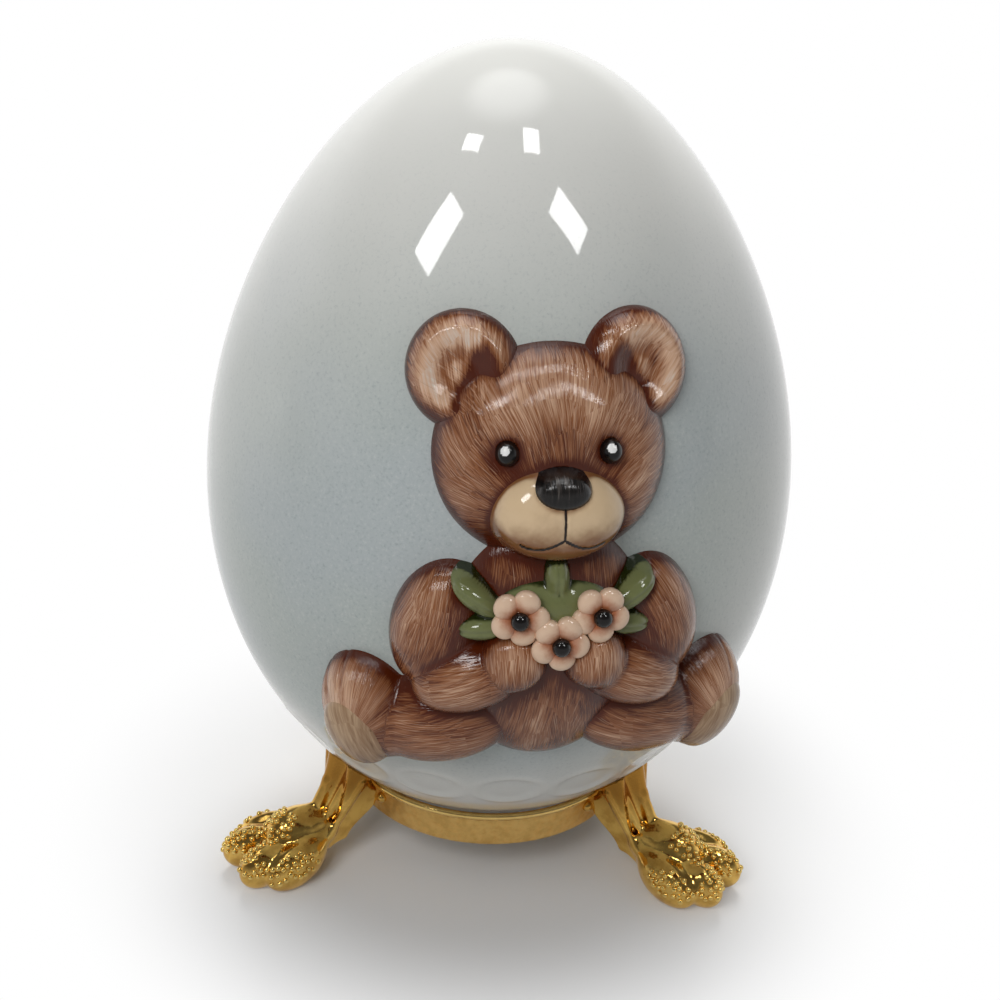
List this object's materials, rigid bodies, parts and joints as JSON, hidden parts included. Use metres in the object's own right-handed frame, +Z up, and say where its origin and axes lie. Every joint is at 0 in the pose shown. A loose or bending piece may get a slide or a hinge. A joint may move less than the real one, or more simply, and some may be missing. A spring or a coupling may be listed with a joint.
{
  "type": "decorative egg on stand",
  "caption": "Glazed ceramic egg with a seated teddy bear in relief, resting in a brass ring on lion-paw legs.",
  "frame": {"origin": "on the floor under the egg's axis, at the middle of the three paws", "axes": "+Z up along the egg's axis, -Y the front, with the bear turned a little to +X"},
  "size_m": [0.063, 0.0704, 0.091],
  "materials": {
    "porcelain": "gloss, airbrushed pale blue-grey with fine speckle",
    "brown_glaze": "gloss over brushed brown strokes",
    "cream_glaze": "gloss",
    "black_glaze": "gloss",
    "green_glaze": "gloss",
    "peach_glaze": "gloss",
    "brass": "polished, lacquered gold tone"
  },
  "bodies": {
    "stand": {"seat_ring": "brass", "paw_leg_rear": "brass", "paw_leg_left": "brass", "paw_leg_right": "brass"},
    "egg": {"egg_shell": "porcelain", "bear_head": "brown_glaze", "bear_ears": "brown_glaze", "bear_muzzle": "cream_glaze", "bear_nose": "black_glaze", "bear_eyes": "black_glaze", "bear_torso": "brown_glaze", "bear_arm_left": "brown_glaze", "bear_arm_right": "brown_glaze", "bear_leg_left": "brown_glaze", "bear_leg_right": "brown_glaze", "bear_soles": "cream_glaze", "posy_leaves": "green_glaze", "posy_blossoms": "peach_glaze", "blossom_seeds": "black_glaze"}
  },
  "joints": [
    {"name": "egg_lift", "type": "slide", "parent": "stand", "child": "egg", "axis": [0, 0, 1], "range_m": [0, 0.04]}
  ]
}
